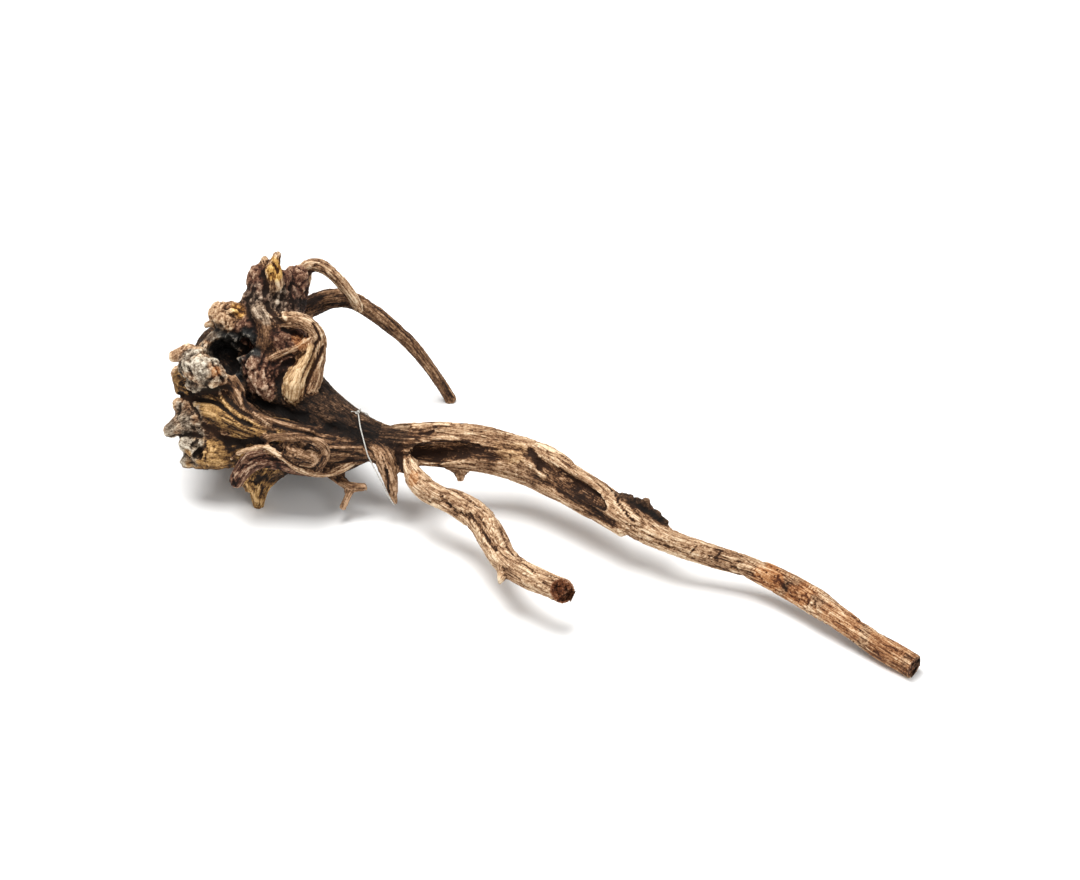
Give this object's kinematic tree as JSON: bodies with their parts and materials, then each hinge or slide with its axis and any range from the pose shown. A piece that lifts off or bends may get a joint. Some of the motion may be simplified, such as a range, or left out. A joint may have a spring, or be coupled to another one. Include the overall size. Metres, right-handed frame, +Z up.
{
  "type": "dry tree root",
  "caption": "Dry gnarled tree root lying on a surface: a knotted crown, one long forked root and thin side roots; a natural decoration or hardscape piece.",
  "frame": {"origin": "centre of the bounding box in X and Y, on the surface the root lies on", "axes": "+X runs from the crown towards the long root's sawn end, +Y away from the front, +Z up"},
  "size_m": [0.4626, 0.2968, 0.1464],
  "materials": {
    "dry_wood": "weathered, barkless, rough",
    "nylon_line": "shiny thin nylon line"
  },
  "bodies": {
    "root": {"dry_root": "dry_wood", "tie_line": "nylon_line"}
  },
  "joints": []
}
